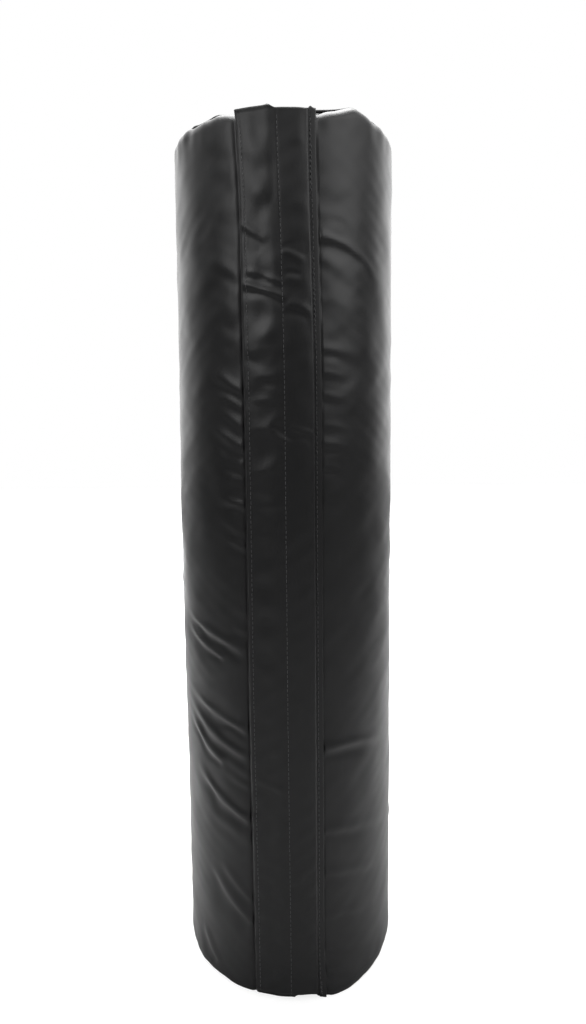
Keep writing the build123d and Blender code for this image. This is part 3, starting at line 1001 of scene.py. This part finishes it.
class DUMMY_OT_end_panels(bpy.types.Operator):
    """The two round panels: a shallow dome whose edge turns into the end seam, as radius and height along a
    profile turned once round, with puckers that run in from the seam"""

    bl_idname = "dummy.end_panels"
    bl_label = "End panels"

    def execute(self, context):
        bend, turned_up, calm = 4 * MM, 12 * MM, 110 * MM
        for name, node_name, base, way, dome in (
            ("top_panel_vinyl", "top_panel", HEIGHT, 1, 7.0 * MM),
            ("bottom_panel_vinyl", "bottom_panel", 0.0, -1, 0.0),
        ):
            edge = farthest("top_panel") + (FOOT_OUT if way < 0 else 0)
            flat = edge - bend
            arc = np.linspace(0, pi / 2, 8)[1:-1]
            inward = np.linspace(flat, 0.0, 46)
            radius = np.concatenate([[edge, edge], flat + bend * np.cos(arc), inward])[:, None]
            drop = np.concatenate([[turned_up, 8 * MM], bend - bend * np.sin(arc), 0 * inward])[:, None]
            swell = dome * (1 - np.square(np.clip(radius / flat, 0, 1)))
            s = (np.linspace(0, tau, 289)[:-1] * RADIUS)[None, :]
            pucker = ripples(s, 0 * radius, 31, 9, (16, 44), (0, 1))
            fade = bell((flat - radius) / (16 * MM)) * (drop < 1e-6) * smooth((flat - radius) / (4 * MM))
            slow = ripples(s, radius, 32, 8, (1, 5), (9, 40)) * smooth((edge - radius) / (60 * MM))
            rise = swell + (0.9 * MM * pucker * fade + 0.5 * MM * slow) * (dome > 0)
            settled = smooth(radius / calm)
            z = base - way * drop + way * (rise * settled + swell * (1 - settled))
            if way > 0:
                around = np.where(s > AROUND / 2, s - AROUND, s)
                z = z + head_rise(around, HEIGHT + 0 * radius) * smooth((radius / edge - 0.45) / 0.55)
            points = round_wall(s, radius, z)
            panel = make_object(
                name, points, grid_faces(*points.shape[:2], True), finishes()["vinyl"], points[..., :2].copy()
            )
            if way * sum(p.normal.z for p in panel.data.polygons[-200:]) < 0:
                panel.data.flip_normals()
            thicken(panel, SHEET)
            place(panel, "bag", "black_vinyl", node_name)
        return {"FINISHED"}


class DUMMY_OT_piping(bpy.types.Operator):
    """The piping in the end seams: a ring whose tube, eight-sided, wanders up, down and out a little with
    the seam"""

    bl_idname = "dummy.piping"
    bl_label = "Piping"

    def execute(self, context):
        ring = (farthest("top_piping") + nearest("top_piping")) / 2
        tube = (farthest("top_piping") - nearest("top_piping")) / 2
        s = np.linspace(-AROUND / 2, AROUND / 2, 721)[:-1]
        turn = np.linspace(0, tau, 11)[:-1][:, None]
        for name, node_name, centre, way in (
            ("top_piping_cord", "top_piping", HEIGHT - tube, 1),
            ("bottom_piping_cord", "bottom_piping", tube + 0.3 * MM, -1),
        ):
            wander = 0.35 * MM * ripples(s, 0 * s, 41 + way, 8, (6, 30), (0, 1))
            if way > 0:
                lift = head_rise(s, HEIGHT + 0 * s) + wander * 0.5
                lift += 3.4 * MM * smooth((s - 36 * MM) / (6 * MM)) * smooth((96 * MM - s) / (50 * MM))
                lift += 1.5 * MM * (bell((s + 99 * MM) / (9 * MM)) + bell((s + 146 * MM) / (8 * MM)))
                out = 0.3 * MM
            else:
                # Just past the lower panel's edge, FOOT_OUT
                lift, out = 0, 6.6 * MM + body_bulge(s, 0 * s)
            r = ring + out + wander * 0.6 + tube * np.cos(turn)
            points = round_wall(s[None, :], r, centre + lift + tube * np.sin(turn))
            points = np.concatenate([points, points[:1]])
            cord = make_object(name, points, grid_faces(*points.shape[:2], True), finishes()["piping"])
            place(cord, "bag", "matte_piping", node_name)
        return {"FINISHED"}


class DUMMY_OT_flap(bpy.types.Operator):
    """The flap and its hem as one strip: a path across it, over the tapes and the zip, down to the hinge
    line, round the folded edge and back under, carried from the bottom to the top and given the sheet's
    thickness along the path's normal"""

    bl_idname = "dummy.flap"
    bl_label = "Closure flap"

    def path(self):
        """The strip's path: places across the flap, closest at its stitches and the hinge, then round the hem
        with their heights off the wall; and the hem's lower level."""
        close = [row + np.arange(-2.6, 2.7, 0.65) * MM for row in FLAP_STITCHES]
        free = np.linspace(FREE_EDGE, HINGE_AT - 7 * MM, 34)
        free = free[[min(abs(row - f) for row in FLAP_STITCHES) > 3.2 * MM for f in free]]
        near_hinge = HINGE_AT - np.array([6.2, 5.2, 4.6, 4, 3.4, 2.8, 2.2, 1.6, 1, 0.4]) * MM
        across = np.sort(np.concatenate([free, *close, near_hinge]))
        across = np.concatenate([[FREE_EDGE], across[across > FREE_EDGE + 0.3 * MM]])
        upper, lower = HEM_TOP - SHEET / 2, 0.05 * MM + SHEET / 2
        curl = (upper - lower) / 2
        turn_at = FOLD_EDGE - curl - SHEET / 2
        over, back = np.linspace(HINGE_AT, turn_at, 7), np.linspace(turn_at, HEM_BACK, 7)
        curve = np.linspace(pi / 2, -pi / 2, 9)[1:-1]
        hem = np.concatenate([over, turn_at + curl * np.cos(curve), back])
        level = (upper + lower) / 2 + curl * np.sin(curve)
        return across, hem, np.concatenate([0 * over + upper, level, 0 * back + lower]), lower

    def ends(self, s):
        """The strip's lower and upper end at each place across it: cut higher at the foot under the zip, and
        lower at the head, with a small ear at the middle and one at the hinge."""
        bottom = 1.0 * MM + 5.6 * MM * smooth((s - 5 * MM) / (3 * MM)) * smooth((37 * MM - s) / (3 * MM))
        top = HEIGHT - 3.2 * MM * smooth((s + 12 * MM) / (8 * MM)) * smooth((41 * MM - s) / (5 * MM))
        ears = 1.6 * MM * bell((s + 9 * MM) / (4 * MM)) + 2.8 * MM * bell((s - 39 * MM) / (3 * MM))
        return bottom, top + ears

    def execute(self, context):
        across, hem, hem_level, lower = self.path()
        path_s = np.concatenate([across, hem])
        bottom, top = self.ends(path_s)
        z = bottom + (top - bottom) * np.linspace(0, 1, 601)[:, None]
        s = path_s + 0.0 * z
        wander = 0.45 * MM * ripples(0 * z, z, 51, 6, (0, 0), (5, 24)) * smooth((-s - 20 * MM) / (32 * MM))
        flap_r = flap_middle(s[:, : across.size], z[:, : across.size])
        hem_s, hem_z = s[:, across.size :], z[:, across.size :]
        hem_r = RADIUS + hem_level + body_bulge(hem_s, hem_z) - 1.0 * MM * smooth((9 * MM - hem_z) / (9 * MM))
        hem_r += 0.25 * MM * ripples(hem_s, hem_z, 52, 8, (1, 2), (8, 60)) * (hem_level > lower + 0.1 * MM)
        r = np.concatenate([flap_r, hem_r], 1)
        s = leaned(s, z) + wander
        ds, dr = np.gradient(s, axis=1), np.gradient(r, axis=1)
        length = np.hypot(ds, dr) / (SHEET / 2)
        out_s, out_r = -dr / length, ds / length
        run = np.concatenate([[0], np.cumsum(np.hypot(np.diff(path_s), np.diff(r[0])))])
        flap = slab(
            "closure_flap_vinyl",
            round_wall(s + out_s, r + out_r, z),
            round_wall(s - out_s, r - out_r, z),
            finishes()["vinyl"],
            cloth=np.stack(np.broadcast_arrays(run[None, :], z), -1),
        )
        place(flap, None, "black_vinyl", "closure_flap", "flap_hem")
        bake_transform(flap)
        return {"FINISHED"}


class DUMMY_OT_grip_tapes(bpy.types.Operator):
    """The hook tape inside the flap and the loop tape on the wall: thin strips, the first following the
    flap's inside and the second the wall"""

    bl_idname = "dummy.grip_tapes"
    bl_label = "Grip tapes"

    def execute(self, context):
        low, high = heights("hook_tape")
        s = np.linspace(TAPE_FROM, TAPE_TO, 26)[None, :]
        z = np.linspace(low, high, 381)[:, None]
        thick = farthest("loop_tape") - nearest("loop_tape")
        cloth = np.stack(np.broadcast_arrays(s, z), -1)
        rough = 0.08 * MM * ripples(s, z, 61, 12, (60, 180), (400, 900))
        top = flap_middle(s, z) - SHEET / 2 - 0.05 * MM
        at = leaned(s, z)
        hooks = slab(
            "hook_tape_pile",
            round_wall(at, top, z),
            round_wall(at, top - thick + 0.1 * MM + rough, z),
            finishes()["hooks"],
            cloth=cloth,
        )
        place(hooks, "flap", "grip_tape", "hook_tape")
        base = RADIUS + 0.05 * MM + body_bulge(at, z)
        loops = slab(
            "loop_tape_pile",
            round_wall(at, base + thick + rough, z),
            round_wall(at, base, z),
            finishes()["loops"],
            cloth=cloth,
        )
        place(loops, "bag", "grip_tape", "loop_tape")
        return {"FINISHED"}


class DUMMY_OT_zip(bpy.types.Operator):
    """The zip's two woven tapes, and its tooth rows: one tooth's rings of eight points, a foot round the
    tape's cord, a neck and a head, repeated up each side with the two sides half a pitch apart"""

    bl_idname = "dummy.zip"
    bl_label = "Zip"

    def execute(self, context):
        row_low, row_high = heights("zip_teeth_left")
        pitch = context.scene.dummy_sizes.tooth_pitch
        middle = (nearest("zip_tape_left") + farthest("zip_tape_left")) / 2
        thick = farthest("zip_tape_left") - nearest("zip_tape_left")
        tape_low, tape_high = heights("zip_tape_left")
        z = np.linspace(tape_low, tape_high, 121)[:, None]
        for side, label in ((-1, "left"), (1, "right")):
            ends = places(f"zip_tape_{label}")
            s = np.linspace(*ends, 9)[None, :]
            cloth = np.stack(np.broadcast_arrays(s, z), -1)
            tape = slab(
                f"zip_tape_{label}_weave",
                round_wall(s, middle + thick / 2, z),
                round_wall(s, middle - thick / 2, z),
                finishes()["tape"],
                cloth=cloth,
            )
            place(tape, "bag", "zip_tape", f"zip_tape_{label}")
            count = int((row_high - row_low - pitch) / pitch)
            start = row_low + pitch * (0.75 if side < 0 else 1.25)
            levels = start + pitch * np.arange(count)
            # Across the tooth: distance from the zip's middle, half height and half thickness of each ring
            reach = np.array([4.9, 4.2, 2.6, 1.6, 0.6, -0.45]) * MM
            tall = np.array([0.72, 0.86, 0.70, 0.62, 0.92, 0.50]) * MM
            deep = np.array([1.35, 1.72, 1.62, 1.30, 1.40, 0.85]) * MM
            turn = np.linspace(0, tau, 9)[:-1] + pi / 8
            up = tall[:, None] * np.clip(1.25 * np.cos(turn), -1, 1)
            out = deep[:, None] * np.clip(1.25 * np.sin(turn), -1, 1)
            place_s = np.broadcast_to((ZIP_AT + side * reach)[:, None], up.shape)
            shape = round_wall(place_s.ravel(), middle + out.ravel(), 0 * up.ravel())[None]
            shape = np.repeat(shape, count, 0)
            shape[..., 2] = levels[:, None] + up.ravel()[None, :]
            teeth = repeated(f"zip_teeth_{label}_row", shape, tube_quads(6, 8), finishes()["teeth"])
            place(teeth, "bag", "zip_teeth", f"zip_teeth_{label}")
            # The cord that the teeth are held on
            ring = np.linspace(0, tau, 9)[None, :-1]
            cord_r = 0.95 * MM
            ends_z = np.linspace(row_low, row_high, 60)[:, None]
            cord_s = ZIP_AT + side * 4.95 * MM + cord_r * np.cos(ring)
            bead = round_wall(cord_s, middle + cord_r * np.sin(ring), ends_z)
            cloth = np.stack(np.broadcast_arrays(ring * cord_r, ends_z), -1)
            cord = make_object(f"zip_cord_{label}", bead, tube_quads(60, 8), finishes()["tape"], cloth)
            place(cord, "bag", "zip_tape")
        for name in ("zip_top_stops", "zip_bottom_stop", "zip_slider", "zip_pull"):
            held = frame["nodes"][name]
            held.data.materials.clear()
            held.data.materials.append(finishes()["enamel"])
        return {"FINISHED"}


class DUMMY_OT_stitching(bpy.types.Operator):
    """Every row of stitches: a short thread that dips into the sheet at both ends, as rings of six points,
    repeated along a path on the surface"""

    bl_idname = "dummy.stitching"
    bl_label = "Stitching"

    def sew(self, name, body, s, surface, low, high, pitch=None, flip=1):
        """One row at arc length s from low to high: each stitch is pitch long, less a gap at each hole, and
        surface gives the radius that it lies on."""
        sizes = bpy.context.scene.dummy_sizes
        pitch, thick = pitch or sizes.stitch_length, sizes.thread_thickness
        count = int((high - low) / pitch)
        z = low + pitch * (np.arange(count) + 0.5)
        pick = np.random.default_rng(len(name) + count)
        s = s + pick.normal(0, 0.12 * MM, count)
        ring = np.linspace(-1, 1, 6)[None, :, None]
        turn = (np.arange(6) * tau / 6)[None, None, :]
        along = ring * pitch * 0.38 + pick.normal(0, 0.15 * MM, count)[:, None, None]
        height = thick * (0.52 - 1.15 * ring**4)
        girth = thick / 2 * np.sqrt(1 - 0.45 * ring**4)
        z = z[:, None, None] + along + 0 * turn
        s = s[:, None, None] + girth * np.sin(turn) + 0 * z
        r = surface(s, z) + flip * (height + girth * np.cos(turn))
        shape = round_wall(leaned(s, z), r, z).reshape(count, 36, 3)
        place(repeated(name, shape, tube_quads(6, 6), finishes()["thread"]), body, "zip_tape")

    def execute(self, context):
        def wall(above):
            return lambda s, z: RADIUS + above + body_bulge(s, z)

        def flap(above):
            return lambda s, z: flap_middle(s, z) + above

        under_tape = -SHEET / 2 - 1.3 * MM
        for label, row in zip(("edge", "middle"), FLAP_STITCHES):
            name = f"flap_{label}_stitches"
            self.sew(name, "flap", row, flap(SHEET / 2), 6 * MM, HEIGHT - 5 * MM)
            self.sew(f"{name}_inside", "flap", row, flap(under_tape), 20 * MM, HEIGHT - 20 * MM, flip=-1)
        row, hem, tack = HINGE_STITCHES, wall(HEM_TOP), 3.2 * MM
        self.sew("hinge_stitches", "bag", row, hem, 6 * MM, HEIGHT - 5 * MM)
        self.sew("hinge_back_tack_top", "bag", row - 1.3 * MM, hem, HEIGHT - 34 * MM, HEIGHT - 6 * MM, tack)
        self.sew("hinge_back_tack_bottom", "bag", row + 1.2 * MM, hem, 5 * MM, 26 * MM, tack)
        low, high = heights("loop_tape")
        for label, row in (("left", TAPE_FROM + 2 * MM), ("right", TAPE_TO - 2 * MM)):
            self.sew(f"loop_tape_{label}_stitches", "bag", row, wall(1.35 * MM), low + 2 * MM, high - 2 * MM)
        low, high = SLIT_LOW - 4 * MM, SLIT_HIGH + 4 * MM
        for label, side in (("left", -1), ("right", 1)):
            row = ZIP_AT + side * (SLIT_HALF + 3 * MM)
            self.sew(f"zip_{label}_stitches", "bag", row, wall(0), low, high, 4 * MM)
        return {"FINISHED"}


class DUMMY_OT_filling(bpy.types.Operator):
    """What is inside: the rolled foam sheet, the foam pads, the sack and the shreds, each a closed surface
    round the axis with seeded unevenness"""

    bl_idname = "dummy.filling"
    bl_label = "Filling"

    def execute(self, context):
        low, high = heights("foam_sleeve")
        outer, inner = farthest("foam_sleeve"), nearest("foam_sleeve")
        gap = 11 * MM
        s = np.linspace(ZIP_AT + gap, ZIP_AT + AROUND - gap, 150)[None, :]
        z = np.linspace(low, high, 90)[:, None]
        soft = 0.8 * MM * ripples(s, z, 71, 10, (2, 9), (4, 30))
        press = 1.0 * MM
        sleeve = slab(
            "foam_sleeve_sheet",
            round_wall(s, outer - press - np.abs(soft), z),
            round_wall(s, inner + press + np.abs(soft[::-1]), z),
            finishes()["foam"],
        )
        place(sleeve, "bag", "foam", "foam_sleeve")
        self.drum("bottom_foam_disc", "bottom_foam_pad", "foam", "foam", 0.5 * MM, 0, 3 * MM, 0.5 * MM, 72)
        self.drum("top_foam_disc", "top_foam_pad", "foam", "foam", 0.5 * MM, 0, 3 * MM, 0.5 * MM, 72)
        self.drum("inner_sack_cloth", "inner_sack", "sack", "sack_cloth", 0.4 * MM, 0, 9 * MM, 1.6 * MM, 73)
        self.drum(
            "textile_shreds", "textile_fill", "rags", "shredded_textile", 3 * MM, 3 * MM, 14 * MM, 2.2 * MM, 74
        )
        return {"FINISHED"}

    def drum(self, name, node_name, finish, slot, inside, short, corner, rough, seed):
        """A closed drum with rounded rims in a CAD node's place, inside it by so much at the side and short of
        it at both ends: flat ends, quarter-circle rims and a side, made smaller by seeded ripples."""
        low, high = heights(node_name)
        low, high, reach = low + short, high - short, farthest(node_name) - inside
        arc = np.linspace(0, pi / 2, 7)
        flat = np.linspace(0, reach - corner, 12)[:-1]
        side = np.linspace(low + corner, high - corner, 60 if high - low > 0.1 else 3)[1:-1]
        rim_r, rim_z = reach - corner + corner * np.sin(arc), corner - corner * np.cos(arc)
        r = np.concatenate([flat, rim_r, np.full(side.size, reach), rim_r[::-1], flat[::-1]])
        z = np.concatenate([0 * flat + low, low + rim_z, side, high - rim_z[::-1], 0 * flat + high])
        s = np.linspace(0, AROUND, 121)[:-1][None, :]
        r, z = r[:, None], z[:, None] + 0 * s
        dip = np.abs(rough * ripples(s, z, seed, 12, (3, 16), (10, 60))) * smooth(r / reach)
        points = round_wall(s, r * (1 - dip / reach), z)
        cloth = np.stack(np.broadcast_arrays(s, z + r), -1)
        drum = make_object(name, points, grid_faces(*points.shape[:2], True), finishes()[finish], cloth)
        place(drum, "bag", slot, node_name)


class DUMMY_OT_studio(bpy.types.Operator):
    """The pale floor, the soft light and the camera"""

    bl_idname = "dummy.studio"
    bl_label = "Studio"

    def execute(self, context):
        scene = context.scene
        reach = np.linspace(-12, 12, 3)
        x, y = np.meshgrid(reach, reach)
        points = np.stack([x, y, 0 * x], -1)
        paint = studio_floor("Studio floor", tuple(scene.dummy_colours.floor))
        floor = make_object("studio_floor", points, grid_faces(3, 3), paint)
        if floor.data.polygons[0].normal.z < 0:
            floor.data.flip_normals()
        self.surroundings(scene)
        middle = Vector((0, 0, HEIGHT / 2))
        for name, where, size, power, spread, aimed in (
            ("Overhead softbox", (0.0, 0.3, 3.0), 1.6, 30, 110, True),
            ("Front left softbox", (-1.5, -1.75, 2.0), 1.3, 10, 180, True),
            ("Front right softbox", (2.1, -1.3, 2.2), 2.0, 19, 180, True),
            ("Floor light left", (-0.72, 0.5, 1.6), 0.7, 9, 62, False),
            ("Floor light right", (0.72, 0.5, 1.6), 0.7, 8, 62, False),
            ("Floor light behind", (0.0, 3.9, 3.2), 3.0, 820, 100, False),
        ):
            light = bpy.data.lights.new(name, "AREA")
            light.shape, light.size, light.energy, light.spread = "SQUARE", size, power, radians(spread)
            lamp = bpy.data.objects.new(name, light)
            lamp.location = where
            if aimed:
                lamp.rotation_euler = (middle - Vector(where)).to_track_quat("-Z", "Y").to_euler()
            scene.collection.objects.link(lamp)
        scene.view_settings.view_transform = "Standard"
        camera = bpy.data.cameras.new("Camera")
        camera.sensor_width = 36.0
        camera.lens = 23.27
        camera.clip_end = 60
        seen_from = (0, -1.031, 0.777)
        eye = bpy.data.objects.new("Camera", camera)
        pitch, yaw, roll = radians(-5.55), radians(-0.54), radians(-0.52)
        turn = Matrix.Rotation(yaw, 4, "Z") @ Matrix.Rotation(radians(90) + pitch, 4, "X")
        eye.matrix_world = Matrix.Translation(seen_from) @ turn @ Matrix.Rotation(roll, 4, "Z")
        scene.collection.objects.link(eye)
        scene.camera = eye
        return {"FINISHED"}

    def surroundings(self, scene):
        """A white studio: plain white to the eye, and as light brighter behind, above and at the sides than
        in front, where the dark room is."""
        world = bpy.data.worlds.new("Studio")
        scene.world = world
        world.use_nodes = True
        tree = world.node_tree
        tree.nodes.clear()
        kinds = "OutputWorld", "MixShader", "LightPath", "TexCoord", "SeparateXYZ", "Background", "Background"
        out, choose, path, coords, parts, plain, lit = (tree.nodes.new(f"ShaderNode{kind}") for kind in kinds)
        for light in (plain, lit):
            light.inputs["Color"].default_value = (1, 1, 1, 1)
        ramp = dict(interpolation_type="SMOOTHSTEP")
        behind = node(tree, "ShaderNodeMapRange", **ramp, From_Min=0.1, From_Max=0.8, To_Min=0.09, To_Max=2.0)
        above = node(tree, "ShaderNodeMapRange", **ramp, From_Min=0.12, From_Max=0.6, To_Min=0.0, To_Max=0.55)
        total = node(tree, "ShaderNodeMath", operation="ADD")
        join(
            tree,
            (coords.outputs["Generated"], parts.inputs[0]),
            (parts.outputs["Y"], behind.inputs["Value"]),
            (parts.outputs["Z"], above.inputs["Value"]),
            (behind.outputs["Result"], total.inputs[0]),
            (above.outputs["Result"], total.inputs[1]),
            (total.outputs[0], lit.inputs["Strength"]),
            (path.outputs["Is Camera Ray"], choose.inputs[0]),
            (lit.outputs[0], choose.inputs[1]),
            (plain.outputs[0], choose.inputs[2]),
            (choose.outputs[0], out.inputs[0]),
        )


class DUMMY_PT_panel(bpy.types.Panel):
    """Lists the dummy's pieces"""

    bl_idname = "DUMMY_PT_panel"
    bl_label = "Grappling dummy"
    bl_space_type = "VIEW_3D"
    bl_region_type = "UI"
    bl_category = "Dummy"

    def draw(self, context):
        for name in STEPS:
            self.layout.operator(f"dummy.{name}")
        for label, group in (("Sizes", context.scene.dummy_sizes), ("Colours", context.scene.dummy_colours)):
            box = self.layout.box()
            box.label(text=label)
            for key in group.__annotations__:
                box.prop(group, key)


STEPS = (
    "cover_wall",
    "end_panels",
    "piping",
    "flap",
    "grip_tapes",
    "zip",
    "stitching",
    "filling",
    "studio",
)
CLASSES = (
    DummySizes,
    DummyColours,
    DUMMY_OT_cover_wall,
    DUMMY_OT_end_panels,
    DUMMY_OT_piping,
    DUMMY_OT_flap,
    DUMMY_OT_grip_tapes,
    DUMMY_OT_zip,
    DUMMY_OT_stitching,
    DUMMY_OT_filling,
    DUMMY_OT_studio,
    DUMMY_PT_panel,
)


def register():
    for cls in CLASSES:
        bpy.utils.register_class(cls)
    bpy.types.Scene.dummy_sizes = PointerProperty(type=DummySizes)
    bpy.types.Scene.dummy_colours = PointerProperty(type=DummyColours)


def unregister():
    del bpy.types.Scene.dummy_sizes, bpy.types.Scene.dummy_colours
    for cls in reversed(CLASSES):
        bpy.utils.unregister_class(cls)


def main():
    """Registers the add-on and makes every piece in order."""
    register()
    for name in STEPS:
        getattr(bpy.ops.dummy, name)()


if __name__ == "__main__":
    main()
